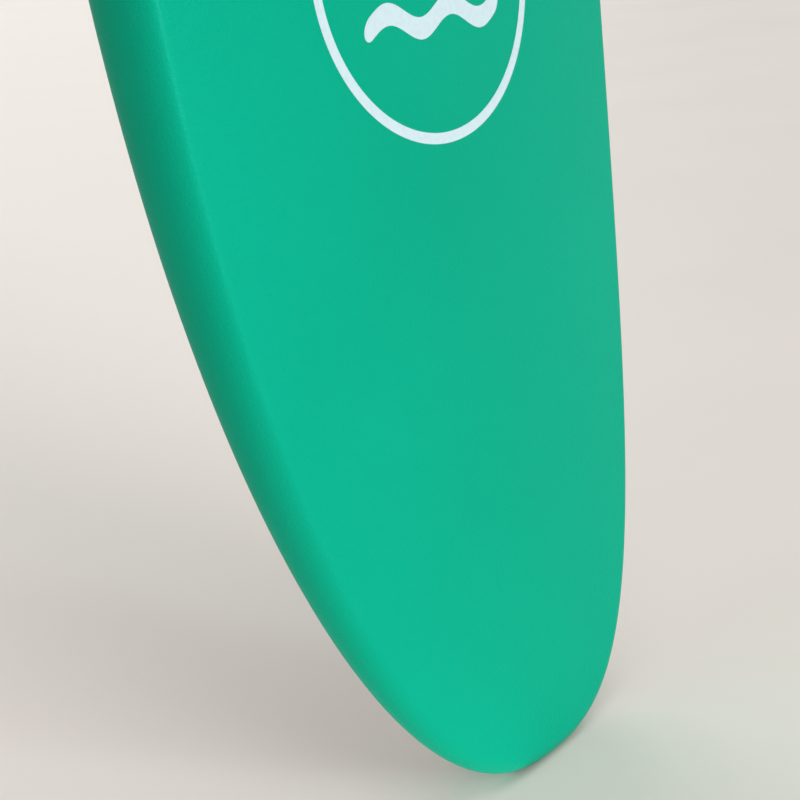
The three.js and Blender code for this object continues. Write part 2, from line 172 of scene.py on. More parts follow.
def mark_edges(bm, limit):
    """Shades all faces smooth, but for the edges sharper than the limit."""
    for face in bm.faces:
        face.smooth = True
    for edge in bm.edges:
        edge.smooth = edge.is_manifold and edge.calc_face_angle(0) < limit


def finish_mesh(name, bm, material):
    """Turns a bmesh into a linked object with its edges marked."""
    bmesh.ops.recalc_face_normals(bm, faces=bm.faces)
    mark_edges(bm, SMOOTH_LIMIT)
    mesh = bpy.data.meshes.new(name)
    bm.to_mesh(mesh)
    bm.free()
    piece = bpy.data.objects.new(name, mesh)
    bpy.context.scene.collection.objects.link(piece)
    if material:
        mesh.materials.append(material)
    return piece


def grid_mesh(loops, closed_ends=False):
    """A bmesh of quads between closed loops of points, all of the same length."""
    bm = bmesh.new()
    rings = [[bm.verts.new(point) for point in loop] for loop in loops]
    count = len(rings[0])
    for first, second in zip(rings, rings[1:]):
        for j in range(count):
            k = (j + 1) % count
            bm.faces.new((first[j], first[k], second[k], second[j]))
    if closed_ends:
        bm.faces.new(rings[0][::-1])
        bm.faces.new(rings[-1])
    return bm


def loft_along_outline(rows):
    """A closed bmesh from rows of (inset, share of the way out, height), nose to tail.

    Each height is a function of s and of the half width there. The loops fold flat at the
    two tips, where merging their halves closes the surface."""
    right = []
    for inset, spread, height in rows:
        half = np.maximum(OUT_U - OUT_NU * inset, 0)
        s = OUT_S - OUT_NS * inset
        right.append(to_frame(half * spread, s, height(s, half)))
    left = [points * np.array([-1, 1, 1]) for points in right[1:-1][::-1]]
    loops = np.stack(right + left, axis=1)
    bm = grid_mesh(loops)
    bmesh.ops.remove_doubles(bm, verts=bm.verts, dist=MERGE_DISTANCE)
    return bm


def boolean_cut(piece, cutter):
    """Takes the cutter out of the piece and removes the cutter."""
    cut = piece.modifiers.new("cut", "BOOLEAN")
    cut.object = cutter
    cut.operation = "DIFFERENCE"
    cut.solver = "EXACT"
    depsgraph = bpy.context.evaluated_depsgraph_get()
    evaluated = piece.evaluated_get(depsgraph)
    mesh = bpy.data.meshes.new_from_object(evaluated)
    piece.modifiers.clear()
    old = piece.data
    piece.data = mesh
    bpy.data.meshes.remove(old)
    bpy.data.objects.remove(cutter)


def sharpen(piece, limit=SMOOTH_LIMIT):
    """Marks the piece's edges again after a cut."""
    bm = bmesh.new()
    bm.from_mesh(piece.data)
    mark_edges(bm, limit)
    bm.to_mesh(piece.data)
    bm.free()


def lathe(name, profile, steps, place, material):
    """A turned piece: the profile is (radius, height) pairs from axis to axis, about z."""
    bm = bmesh.new()
    rings = []
    for radius, height in profile:
        if radius == 0:
            rings.append([bm.verts.new((0, 0, height))])
            continue
        turn = [2 * math.pi * i / steps for i in range(steps)]
        rings.append([bm.verts.new((radius * math.cos(a), radius * math.sin(a), height)) for a in turn])
    for first, second in zip(rings, rings[1:]):
        for i in range(steps):
            k = (i + 1) % steps
            corners = [first[i % len(first)], first[k % len(first)]]
            corners += [second[k % len(second)], second[i % len(second)]]
            unique = list(dict.fromkeys(corners))
            if len(unique) > 2:
                bm.faces.new(unique)
    bmesh.ops.transform(bm, matrix=place, verts=bm.verts)
    return finish_mesh(name, bm, material)


def prism(outline_points, low, high, bevel=0.0, segments=3):
    """A bmesh of an outline in x and y, drawn from z = low to high, its top edge rounded."""
    bm = bmesh.new()
    bottom = [bm.verts.new((x, y, low)) for x, y in outline_points]
    face = bm.faces.new(bottom)
    grown = bmesh.ops.extrude_face_region(bm, geom=[face])
    top = [v for v in grown["geom"] if isinstance(v, bmesh.types.BMVert)]
    bmesh.ops.translate(bm, vec=(0, 0, high - low), verts=top)
    bmesh.ops.recalc_face_normals(bm, faces=bm.faces)
    if bevel:
        rim = [e for e in bm.edges if all(abs(v.co.z - high) < MERGE_DISTANCE for v in e.verts)]
        bmesh.ops.bevel(bm, geom=rim, offset=bevel, segments=segments, profile=0.5, affect="EDGES")
    return bm


def rounded_outline(length, width, corner, steps=10):
    """Points round a rectangle with round corners, centred on the origin."""
    points = []
    corners = ((1, -1, -90), (1, 1, 0), (-1, 1, 90), (-1, -1, 180))
    for side_x, side_y, start in corners:
        cx = side_x * (length / 2 - corner)
        cy = side_y * (width / 2 - corner)
        for i in range(steps + 1):
            angle = math.radians(start + 90 * i / steps)
            points.append((cx + corner * math.cos(angle), cy + corner * math.sin(angle)))
    return points


# ---- material helpers -----------------------------------------------------------------------


class Material:
    """A node material with short calls for the nodes used here.

    Textures lie in the piece's own coordinates, so they move with it."""

    def __init__(self, name, roughness=0.5, specular=0.5, metallic=0.0):
        self.material = bpy.data.materials.new(name)
        self.material.use_nodes = True
        self.tree = self.material.node_tree
        self.shader = self.tree.nodes["Principled BSDF"]
        self.shader.inputs["Roughness"].default_value = roughness
        self.shader.inputs["Specular IOR Level"].default_value = specular
        self.shader.inputs["Metallic"].default_value = metallic
        coordinates = self.tree.nodes.new("ShaderNodeTexCoord")
        self.place = coordinates.outputs["Object"]

    def link(self, source, target):
        self.tree.links.new(source, target)

    def stretched(self, scale):
        """The place, scaled by a factor on each axis."""
        mapping = self.tree.nodes.new("ShaderNodeMapping")
        mapping.inputs["Scale"].default_value = scale
        self.link(self.place, mapping.inputs["Vector"])
        return mapping.outputs["Vector"]

    def noise(self, scale, detail=3.0, roughness=0.5, vector=None):
        noise = self.tree.nodes.new("ShaderNodeTexNoise")
        noise.inputs["Scale"].default_value = scale
        noise.inputs["Detail"].default_value = detail
        noise.inputs["Roughness"].default_value = roughness
        self.link(vector or self.place, noise.inputs["Vector"])
        return noise.outputs["Fac"]

    def cells(self, scale, feature="F1"):
        voronoi = self.tree.nodes.new("ShaderNodeTexVoronoi")
        voronoi.feature = feature
        voronoi.inputs["Scale"].default_value = scale
        self.link(self.place, voronoi.inputs["Vector"])
        return voronoi.outputs["Distance"]

    def ramp(self, value, stops):
        """A colour or value ramp through (position, colour) stops."""
        ramp = self.tree.nodes.new("ShaderNodeValToRGB")
        elements = ramp.color_ramp.elements
        while len(elements) < len(stops):
            elements.new(0.5)
        for element, (position, colour) in zip(elements, stops):
            element.position = position
            element.color = (*colour, 1.0)
        self.link(value, ramp.inputs["Fac"])
        return ramp.outputs["Color"]

    def spread(self, value, low, high):
        """Maps a 0 to 1 value onto low to high."""
        spread = self.tree.nodes.new("ShaderNodeMapRange")
        spread.inputs["To Min"].default_value = low
        spread.inputs["To Max"].default_value = high
        self.link(value, spread.inputs["Value"])
        return spread.outputs["Result"]

    def mix(self, kind, share, first, second):
        """Mixes two colour sockets."""
        mix = self.tree.nodes.new("ShaderNodeMix")
        mix.data_type = "RGBA"
        mix.blend_type = kind
        mix.inputs[0].default_value = share
        self.link(first, mix.inputs[6])
        self.link(second, mix.inputs[7])
        return mix.outputs[2]

    def add(self, first, second):
        """The sum of two values."""
        node = self.tree.nodes.new("ShaderNodeMath")
        node.operation = "ADD"
        self.link(first, node.inputs[0])
        self.link(second, node.inputs[1])
        return node.outputs[0]

    def bump(self, height, strength, distance):
        bump = self.tree.nodes.new("ShaderNodeBump")
        bump.inputs["Strength"].default_value = strength
        bump.inputs["Distance"].default_value = distance
        self.link(height, bump.inputs["Height"])
        self.link(bump.outputs["Normal"], self.shader.inputs["Normal"])

    def colour(self, socket):
        self.link(socket, self.shader.inputs["Base Color"])

    def roughness(self, socket):
        self.link(socket, self.shader.inputs["Roughness"])


def shaded(colour, factor):
    """A colour made darker or lighter."""
    return tuple(min(1.0, channel * factor) for channel in colour)


def foam_skin_material():
    """Matte closed-cell foam: a fine pebble grain, faint clouds of tone, a soft nap."""
    skin = Material("foam_skin", roughness=0.42, specular=0.02, metallic=0.14)
    skin.shader.inputs["Specular Tint"].default_value = (0.3, 1.0, 1.0, 1.0)
    clouds = skin.noise(3.0, detail=4)
    skin.colour(skin.ramp(clouds, [(0.3, shaded(GREEN, 0.96)), (0.7, shaded(GREEN, 1.04))]))
    pebbles = skin.cells(520.0, feature="SMOOTH_F1")
    grain = skin.noise(900.0, detail=2)
    skin.roughness(skin.spread(skin.noise(160.0), 0.38, 0.46))
    skin.bump(skin.add(pebbles, grain), 0.4, 0.6 * MM)
    skin.shader.inputs["Coat Weight"].default_value = 0.11
    skin.shader.inputs["Coat Roughness"].default_value = 0.22
    skin.shader.inputs["Sheen Weight"].default_value = 0.03
    skin.shader.inputs["Sheen Roughness"].default_value = 0.4
    skin.shader.inputs["Sheen Tint"].default_value = (0.05, 0.8, 0.6, 1.0)
    return skin.material


def ink_material():
    """Printed ink that lies in the foam's grain."""
    ink = Material("deck_ink", roughness=0.5, specular=0.35)
    patches = ink.noise(240.0, detail=4)
    ink.colour(ink.ramp(patches, [(0.25, shaded(INK, 0.95)), (0.6, shaded(INK, 1.02))]))
    ink.roughness(ink.spread(ink.noise(160.0), 0.45, 0.58))
    ink.bump(ink.cells(520.0, feature="SMOOTH_F1"), 0.18, 0.3 * MM)
    return ink.material


def slick_material():
    """Satin white sheet with long faint scuffs and a slight waviness."""
    slick = Material("slick_sheet", roughness=0.32, specular=0.45)
    tone = slick.noise(2.2, detail=3)
    scuffs = slick.noise(60.0, detail=6, roughness=0.65, vector=slick.stretched((6.0, 6.0, 0.35)))
    base = slick.ramp(tone, [(0.3, shaded(SLICK_WHITE, 0.975)), (0.7, SLICK_WHITE)])
    marks = slick.ramp(scuffs, [(0.62, (1.0, 1.0, 1.0)), (0.8, (0.86, 0.87, 0.87))])
    slick.colour(slick.mix("MULTIPLY", 1.0, base, marks))
    slick.roughness(slick.spread(scuffs, 0.24, 0.46))
    slick.bump(slick.add(slick.noise(14.0, detail=2), slick.noise(600.0, detail=1)), 0.08, 0.4 * MM)
    return slick.material


def bead_foam_material():
    """Expanded bead foam: packed cells with darker borders."""
    foam = Material("bead_foam", roughness=0.85, specular=0.2)
    beads = foam.cells(260.0)
    foam.colour(foam.ramp(beads, [(0.1, (0.86, 0.86, 0.84)), (0.75, (0.70, 0.70, 0.68))]))
    foam.roughness(foam.spread(beads, 0.8, 0.95))
    foam.bump(beads, 0.5, 0.8 * MM)
    return foam.material


def hard_foam_material():
    """Dense rigid foam with fine closed cells."""
    foam = Material("hard_foam", roughness=0.8, specular=0.25)
    cells = foam.cells(900.0)
    foam.colour(foam.ramp(cells, [(0.1, (0.66, 0.58, 0.38)), (0.8, (0.52, 0.45, 0.28))]))
    foam.roughness(foam.spread(cells, 0.7, 0.9))
    foam.bump(cells, 0.3, 0.3 * MM)
    return foam.material


def timber_material():
    """Sawn softwood with grain along the board."""
    timber = Material("stringer_timber", roughness=0.6, specular=0.3)
    grain = timber.noise(30.0, detail=6, roughness=0.6, vector=timber.stretched((8.0, 8.0, 0.5)))
    timber.colour(timber.ramp(grain, [(0.3, (0.42, 0.24, 0.11)), (0.65, (0.66, 0.44, 0.24))]))
    timber.roughness(timber.spread(grain, 0.5, 0.75))
    timber.bump(grain, 0.25, 0.3 * MM)
    return timber.material


def moulded_material(name, colour, roughness):
    """Injection-moulded plastic with a fine spark-eroded grain and faint handling marks."""
    plastic = Material(name, roughness=roughness, specular=0.45)
    marks = plastic.noise(70.0, detail=5, roughness=0.6)
    plastic.colour(plastic.ramp(marks, [(0.35, shaded(colour, 0.9)), (0.7, shaded(colour, 1.12))]))
    plastic.roughness(plastic.spread(marks, roughness - 0.07, roughness + 0.08))
    plastic.bump(plastic.noise(1400.0, detail=2), 0.15, 0.12 * MM)
    return plastic.material


def steel_material():
    """Turned stainless steel with fine brushing."""
    steel = Material("stainless_steel", roughness=0.3, metallic=1.0)
    brushing = steel.noise(500.0, detail=3, vector=steel.stretched((0.2, 3.0, 3.0)))
    steel.colour(steel.ramp(brushing, [(0.3, shaded(STEEL, 0.9)), (0.7, shaded(STEEL, 1.08))]))
    steel.roughness(steel.spread(brushing, 0.22, 0.4))
    steel.bump(brushing, 0.1, 0.05 * MM)
    return steel.material


def floor_material():
    """Plain pale floor with a faint cloudiness."""
    floor = Material("pale_floor", roughness=0.55, specular=0.3)
    clouds = floor.noise(1.3, detail=5)
    floor.colour(floor.ramp(clouds, [(0.3, shaded(FLOOR, 0.98)), (0.7, shaded(FLOOR, 1.02))]))
    floor.roughness(floor.spread(clouds, 0.5, 0.62))
    return floor.material


FOAM_SKIN = foam_skin_material()
DECK_INK = ink_material()
SLICK = slick_material()
BEAD_FOAM = bead_foam_material()
HARD_FOAM = hard_foam_material()
TIMBER = timber_material()
BOX_PLASTIC = moulded_material("box_plastic", BOX_GREY, 0.42)
FIN_PLASTIC = moulded_material("fin_plastic", CHARCOAL, 0.4)
STAINLESS = steel_material()

# ---- skins ----------------------------------------------------------------------------------


def apex_height(s):
    """Height of the rail's outermost line."""
    return bottom_height(s) + RAIL_APEX * edge_thickness(s)


def deck_rows(draw_in, spreads, half_height):
    """Rows over the deck, from the centreline to the rolled edge."""
    inset = draw_in + (RAIL_ROLL - draw_in) * (1 - math.cos(ROLL_START))

    def height(spread):
        def at(s, half):
            crown = DECK_CROWN * (half / HALF_WIDTH) ** 2 * (1 - spread * spread)
            return apex_height(s) + half_height(s) * math.sin(ROLL_START) + crown
        return at

    return [(inset, spread, height(spread)) for spread in spreads]


def curve_rows(draw_in, radius, angles, centre, reach):
    """Rows round a quarter of the rail; reach is the signed rise at the end of the quarter."""

    def height(angle):
        return lambda s, half: centre(s) + reach(s) * math.sin(angle)

    return [(draw_in + radius * (1 - math.cos(a)), 1.0, height(a)) for a in angles]


EDGE_CROWDING = 1.15  # draws the deck's rows together towards the rolled edge


def shell_path(draw_in, bottom_draw_in, deck_steps, roll_steps, tuck_steps):
    """Rows from the deck centreline over the rail to the bottom edge of one shell surface."""
    above = lambda s: (1 - RAIL_APEX) * edge_thickness(s) - draw_in
    below = lambda s: -(RAIL_APEX * edge_thickness(s) - bottom_draw_in)
    spreads = 1 - (1 - np.linspace(0, 1, deck_steps, endpoint=False)) ** EDGE_CROWDING
    rows = deck_rows(draw_in, spreads, above)
    roll = np.linspace(ROLL_START, 0, roll_steps)
    tuck = np.linspace(0, math.pi / 2, tuck_steps)[1:]
    rows += curve_rows(draw_in, RAIL_ROLL - draw_in, roll, apex_height, above)
    rows += curve_rows(draw_in, RAIL_TUCK - draw_in, tuck, apex_height, below)
    return rows


SEAM_ROUND = 1.2 * MM
SHEET_ROUND = 0.7 * MM
HOLE_ROOM = 0.2 * MM  # beyond the gap, round the leash cup


def above_bottom(rise):
    """A height rule that follows the bottom surface at a fixed rise."""
    return lambda s, half: bottom_height(s) + rise


def seam_rows():
    """The deck skin's lower edge: level along the bottom, then rounded up at the seam."""
    edge = SEAM_INSET - GAP
    rows = [(edge - SEAM_ROUND, 1.0, above_bottom(0.0))]
    for angle in (25, 50, 75, 90):
        a = math.radians(angle)
        inset = edge - SEAM_ROUND * (1 - math.sin(a))
        rows.append((inset, 1.0, above_bottom(SEAM_ROUND * (1 - math.cos(a)))))
    rows.append((edge, 1.0, above_bottom(BOTTOM_SKIN)))
    return rows


def cup_place():
    """The leash cup's frame: z out of the deck, x across the board."""
    out = Vector(MOUNTS["leash_cup_face"]["axis"]).normalized()
    across = Vector((1, 0, 0))
    along = out.cross(across)
    place = Matrix((across, along, out)).transposed().to_4x4()
    s = np.array(CUP_S)
    place.translation = Vector(to_frame(0.0, float(s), float(deck_height(np.array(0.0), s))))
    return place


CUP_FLANGE = (CUP_HIGH.x - CUP_LOW.x) / 2
CUP_BODY = 12 * MM
CUP_BORE = 9.6 * MM
CUP_DEPTH = 20 * MM
CUP_FLOOR = 3 * MM
CUP_LIP = 2.4 * MM
CUP_STEPS = 72
CUP_HOLE_STEPS = 96
PIN_RADIUS = 1.6 * MM
PIN_DEPTH = 5.5 * MM
PIN_CHAMFER = 0.2 * MM
PIN_STEPS = 32


def make_deck_skin():
    """The soft green skin, a closed shell from seam to seam over the deck and both rails."""
    outer = shell_path(0.0, 0.0, 26, 18, 11)
    inner = shell_path(DECK_SKIN, BOTTOM_SKIN, 8, 6, 4)[::-1]
    bm = loft_along_outline(outer + seam_rows() + inner)
    skin = finish_mesh("deck_skin_foam", bm, FOAM_SKIN)
    room = GAP + HOLE_ROOM
    hole = [(0, -DECK_SKIN * 2), (CUP_BODY + room, -DECK_SKIN * 2), (CUP_BODY + room, -CUP_LIP)]
    hole += [(CUP_FLANGE + room, -CUP_LIP), (CUP_FLANGE + room, DECK_SKIN), (0, DECK_SKIN)]
    boolean_cut(skin, lathe("cup_hole", hole, CUP_HOLE_STEPS, cup_place(), None))
    sharpen(skin)
    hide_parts("deck_skin")
    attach(skin, "board")


def make_bottom_skin(fin_places):
    """The slick white sheet, let in flush between the edges of the deck skin."""
    edge = SEAM_INSET + GAP / 2
    spreads = np.linspace(0, 1, 18, endpoint=False)
    rows = [(edge, spread, above_bottom(BOTTOM_SKIN)) for spread in spreads[::3]]
    rows.append((edge, 1.0, above_bottom(BOTTOM_SKIN)))
    for angle in (90, 60, 30, 0):
        a = math.radians(angle)
        inset = edge + SHEET_ROUND * (1 - math.sin(a))
        rows.append((inset, 1.0, above_bottom(SHEET_ROUND * (1 - math.cos(a)))))
    rows += [(edge + SHEET_ROUND, spread, above_bottom(0.0)) for spread in spreads[::-1]]
    skin = finish_mesh("bottom_skin_slick", loft_along_outline(rows), SLICK)
    for name, place in fin_places.items():
        bar = rounded_outline(BOX_LENGTH + 2 * GAP, BOX_WIDTH + 2 * GAP, BOX_CORNER + GAP)
        bm = prism(bar, -4 * BOTTOM_SKIN, 4 * BOTTOM_SKIN)
        bmesh.ops.transform(bm, matrix=place, verts=bm.verts)
        boolean_cut(skin, finish_mesh(f"hole_{name}", bm, None))
    sharpen(skin)
    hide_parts("bottom_skin")
    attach(skin, "board")


# ---- print on the deck ----------------------------------------------------------------------

RING_CENTRE = 630.8 * MM
RING_RADIUS = 129.2 * MM
RING_BAND = 8.2 * MM
WAVE_STROKE = 16 * MM
WAVE_SPACING = 36 * MM
WAVE_HEIGHT = 7 * MM
WAVE_LENGTH = 74 * MM
WAVE_ROOM = 0.70  # share of the ring's radius that the waves fill
INK_TOP = 0.10 * MM
INK_FOOT = -0.12 * MM
INK_ROWS = 4
RING_STEPS = 240
WAVE_STEPS = 90
WAVE_END_STEPS = 8
WAVE_END_LEAST = 0.02 * MM  # keeps the very end of a stroke from closing to a point


def printed_strip(name, inner_edge, outer_edge, closed):
    """A thin closed film on the deck between two edges, each an array of (u, s) points."""
    layers = []
    for rise in (INK_FOOT, INK_TOP):
        shares = [k / INK_ROWS for k in range(INK_ROWS + 1)]
        rows = [inner_edge + (outer_edge - inner_edge) * share for share in shares]
        layers.append([to_frame(r[:, 0], r[:, 1], deck_height(r[:, 0], r[:, 1]) + rise) for r in rows])
    loop = layers[1] + layers[0][::-1]
    loops = np.stack(loop, axis=1)
    if closed:
        loops = np.concatenate([loops, loops[:1]])
    bm = grid_mesh(loops, closed_ends=not closed)
    bmesh.ops.remove_doubles(bm, verts=bm.verts, dist=MERGE_DISTANCE)
    film = finish_mesh(name, bm, DECK_INK)
    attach(film, "board")


def make_ring():
    """The plain printed ring."""
    turn = np.linspace(0, 2 * math.pi, RING_STEPS + 1)
    around = np.stack([np.cos(turn), np.sin(turn)], axis=1)
    centre = np.array([0.0, RING_CENTRE])
    inner = centre + around * (RING_RADIUS - RING_BAND)
    outer = centre + around * RING_RADIUS
    printed_strip("deck_print_ring", inner[:-1], outer[:-1], closed=True)


def make_wave(name, offset):
    """One wavy stroke across the ring, cut to the room inside it, with rounded ends."""
    room = RING_RADIUS * WAVE_ROOM
    reach = math.sqrt(room ** 2 - offset ** 2)
    end = WAVE_STROKE / 2
    middle = np.linspace(-reach + end, reach - end, WAVE_STEPS)
    cap = np.linspace(0, math.pi / 2, WAVE_END_STEPS)[:-1]
    left = -reach + end - end * np.cos(cap)
    right = (reach - end + end * np.cos(cap))[::-1]
    u = np.concatenate([left, middle, right])
    half = np.concatenate([end * np.sin(cap), np.full(len(middle), end), (end * np.sin(cap))[::-1]])
    half = np.maximum(half, WAVE_END_LEAST)
    s = RING_CENTRE + offset + WAVE_HEIGHT * np.sin(2 * math.pi * u / WAVE_LENGTH)
    low = np.stack([u, s - half], axis=1)
    high = np.stack([u, s + half], axis=1)
    printed_strip(name, low, high, closed=False)


# ---- fins, boxes and screws -----------------------------------------------------------------

FIN_BASE = 112 * MM
FIN_DEPTH = 115 * MM
FIN_ARC = 104 * MM
FIN_RAKE = 22 * MM
FIN_HOLLOW = 14 * MM
FIN_THICKNESS = 7 * MM
FIN_TIP_THINNING = 0.75
FIN_EDGE = 0.45 * MM
FOIL_RISE = 0.5
FOIL_FALL = 0.9
FOIL_STEPS = 33
FIN_TIP_START = 0.8  # share of the fin's height angle where its sections begin to crowd
FIN_TIP_REACH = 0.195
FIN_TIP_CROWDING = 0.7
LEAST_CHORD = 0.3 * MM
CHORD_LIMIT = 0.45  # most that one face may stand out, as a share of the chord
EDGE_LIMIT = 0.2  # most that the thickness of the fin's edge may be, as a share of the chord
TAB_LENGTH = 25 * MM
TAB_THICKNESS = 6.4 * MM
TAB_DEPTH = 13 * MM
TAB_SPREAD = 32 * MM
TAB_CORNER = 1.2 * MM
TAB_CORNER_STEPS = 4
TAB_ROOT = 0.5 * MM  # how far a tab reaches up into the blade
BOX_LENGTH = 128 * MM
BOX_WIDTH = 32 * MM
BOX_DEPTH = 18 * MM
BOX_CORNER = 15 * MM
BOX_ROUND = 0.5 * MM
BOX_SMOOTH_LIMIT = math.radians(30)
SCREW_RADIUS = 2.5 * MM
SCREW_LENGTH = 6.5 * MM
SCREW_CHAMFER = 0.45 * MM
SCREW_STEPS = 40
SCREW_TILT = math.radians(40)
SCREW_SOCKET = 1.45 * MM
SCREW_SOCKET_DEPTH = 3 * MM
SCREW_END_DEPTH = 0.55 * TAB_DEPTH
SIDE_CANT = math.radians(6)
SIDE_TOE = math.radians(2.5)
SIDE_FLAT = 0.12  # share of a side fin's thickness on its inner face

SIDES = {"left": -1, "right": 1, "centre": 0}


def fin_place(name):
    """A fin box's frame, from its node's box and its joint's axis: x to the tail, z out."""
    side = SIDES[name]
    out = Vector(JOINTS[f"fin_{name}_slide"]["axis"]).normalized()
    along = Vector((0, 0, 1)) - out * out.z
    along.normalize()
    along.rotate(Matrix.Rotation(side * SIDE_TOE, 3, out))
    across = out.cross(along)
    low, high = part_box(f"fin_box_{name}")
    centre = (low + high) / 2 + out * (BOX_DEPTH / 2)
    place = Matrix((along, across, out)).transposed().to_4x4()
    place.translation = centre
    return place


def facing_out(bm, side):
    """Turns a left fin's pieces over, so that what faces outboard does so on both sides."""
    if side < 0:
        bmesh.ops.scale(bm, vec=(1, -1, 1), verts=bm.verts)
        bmesh.ops.reverse_faces(bm, faces=bm.faces)


def foil_half(share):
    """The foil's fullness along the chord, 1 at its thickest place."""
    peak = FOIL_RISE / (FOIL_RISE + FOIL_FALL)
    shape = lambda x: x ** FOIL_RISE * (1 - x) ** FOIL_FALL
    return shape(share) / shape(peak)


def fin_loop(angle, cant, inner):
    """One section of the blade at a height angle, from nose round the outer face and back."""
    t = math.sin(angle)
    front = -FIN_BASE / 2 + FIN_ARC * (1 - math.cos(angle)) + FIN_RAKE * t
    back = FIN_BASE / 2 - FIN_HOLLOW * math.sin(math.pi * t) + (FIN_ARC + FIN_RAKE - FIN_BASE) * t
    chord = max(back - front, LEAST_CHORD)
    thickness = FIN_THICKNESS * (1 - FIN_TIP_THINNING * t)
    z = GAP + FIN_DEPTH * t
    lean = math.tan(cant) * z
    share = (1 - np.cos(np.linspace(0, math.pi, FOIL_STEPS))) / 2
    edge = np.minimum(FIN_EDGE, chord * EDGE_LIMIT) * np.sqrt(share)
    half = foil_half(share) * thickness
    limit = chord * CHORD_LIMIT
    outer = np.minimum(half * (1 - inner) + edge, limit)
    under = np.minimum(half * inner + edge, limit)
    x = front + chord * share
    top = np.stack([x, lean + outer, np.full_like(x, z)], axis=1)
    low = np.stack([x, lean - under, np.full_like(x, z)], axis=1)
    return np.concatenate([top, low[1:][::-1]])


def make_fin(name, place):
    """The blade with its foil, and two tabs under it."""
    side = SIDES[name]
    cant = SIDE_CANT if side else 0.0
    inner = SIDE_FLAT if side else 0.5
    tip = FIN_TIP_START + FIN_TIP_REACH * np.linspace(0, 1, 15)[1:] ** FIN_TIP_CROWDING
    angles = np.concatenate([np.linspace(0, FIN_TIP_START, 26), tip])
    loops = [fin_loop(a * math.pi / 2, cant, inner) for a in angles]
    bm = grid_mesh(loops, closed_ends=True)
    for x in (-TAB_SPREAD, TAB_SPREAD):
        section = rounded_outline(TAB_LENGTH, TAB_THICKNESS, TAB_CORNER, TAB_CORNER_STEPS)
        tab = prism(section, -TAB_DEPTH, TAB_ROOT)
        bmesh.ops.translate(tab, vec=(x, 0, 0), verts=tab.verts)
        holder = bpy.data.meshes.new("tab")
        tab.to_mesh(holder)
        tab.free()
        bm.from_mesh(holder)
        bpy.data.meshes.remove(holder)
    facing_out(bm, side)
    bmesh.ops.transform(bm, matrix=place, verts=bm.verts)
    fin = finish_mesh(f"fin_{name}_moulded", bm, FIN_PLASTIC)
    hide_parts(f"fin_{name}")
    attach(fin, f"fin_{name}")


def screw_place(x):
    """A grub screw's frame: its end at z = 0 close to the tab, its head up and outward."""
    reach = SCREW_RADIUS * math.cos(SCREW_TILT)
    y = TAB_THICKNESS / 2 + GAP + reach
    return Matrix.Translation((x, y, -SCREW_END_DEPTH)) @ Matrix.Rotation(-SCREW_TILT, 4, "X")


def round_outline(radius, steps):
    """Points round a circle."""
    turn = [2 * math.pi * i / steps for i in range(steps)]
    return [(radius * math.cos(a), radius * math.sin(a)) for a in turn]


def make_screw(fin_name, end, x, place):
    """A grub screw with a chamfered head and a hexagon socket."""
    side = SIDES[fin_name]
    whole = place @ Matrix.Diagonal((1, -1 if side < 0 else 1, 1, 1)) @ screw_place(x)
    section = round_outline(SCREW_RADIUS, SCREW_STEPS)
    body = prism(section, 0, SCREW_LENGTH, bevel=SCREW_CHAMFER, segments=2)
    screw = finish_mesh(f"fin_screw_{fin_name}_{end}_grub", body, STAINLESS)
    socket = prism(round_outline(SCREW_SOCKET, 6), SCREW_LENGTH - SCREW_SOCKET_DEPTH, SCREW_LENGTH + MM)
    boolean_cut(screw, finish_mesh("socket", socket, None))
    screw.data.transform(whole)
    if side < 0:
        screw.data.flip_normals()
    sharpen(screw)
    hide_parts(f"fin_screw_{fin_name}_{end}")
    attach(screw, "board")


def make_fin_box(name, place):
    """The moulded box: a flush flange with two tab pockets and two slanting screw holes."""
    side = SIDES[name]
    body = prism(rounded_outline(BOX_LENGTH, BOX_WIDTH, BOX_CORNER, 14), -BOX_DEPTH, 0, BOX_ROUND)
    box = finish_mesh(f"fin_box_{name}_moulded", body, BOX_PLASTIC)
    for x in (-TAB_SPREAD, TAB_SPREAD):
        length = TAB_LENGTH + 2 * GAP
        thickness = TAB_THICKNESS + 2 * GAP
        pocket = rounded_outline(length, thickness, TAB_CORNER, TAB_CORNER_STEPS)
        bm = prism(pocket, -TAB_DEPTH - GAP, TAB_DEPTH)
        bmesh.ops.translate(bm, vec=(x, 0, 0), verts=bm.verts)
        boolean_cut(box, finish_mesh("pocket", bm, None))
        hole = prism(round_outline(SCREW_RADIUS + GAP, SCREW_STEPS), -GAP, 3 * SCREW_LENGTH)
        bmesh.ops.transform(hole, matrix=screw_place(x), verts=hole.verts)
        boolean_cut(box, finish_mesh("screw_hole", hole, None))
    if side < 0:
        box.data.transform(Matrix.Diagonal((1, -1, 1, 1)))
        box.data.flip_normals()
    box.data.transform(place)
    sharpen(box, BOX_SMOOTH_LIMIT)
    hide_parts(f"fin_box_{name}")
    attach(box, "board")


# ---- leash cup ------------------------------------------------------------------------------


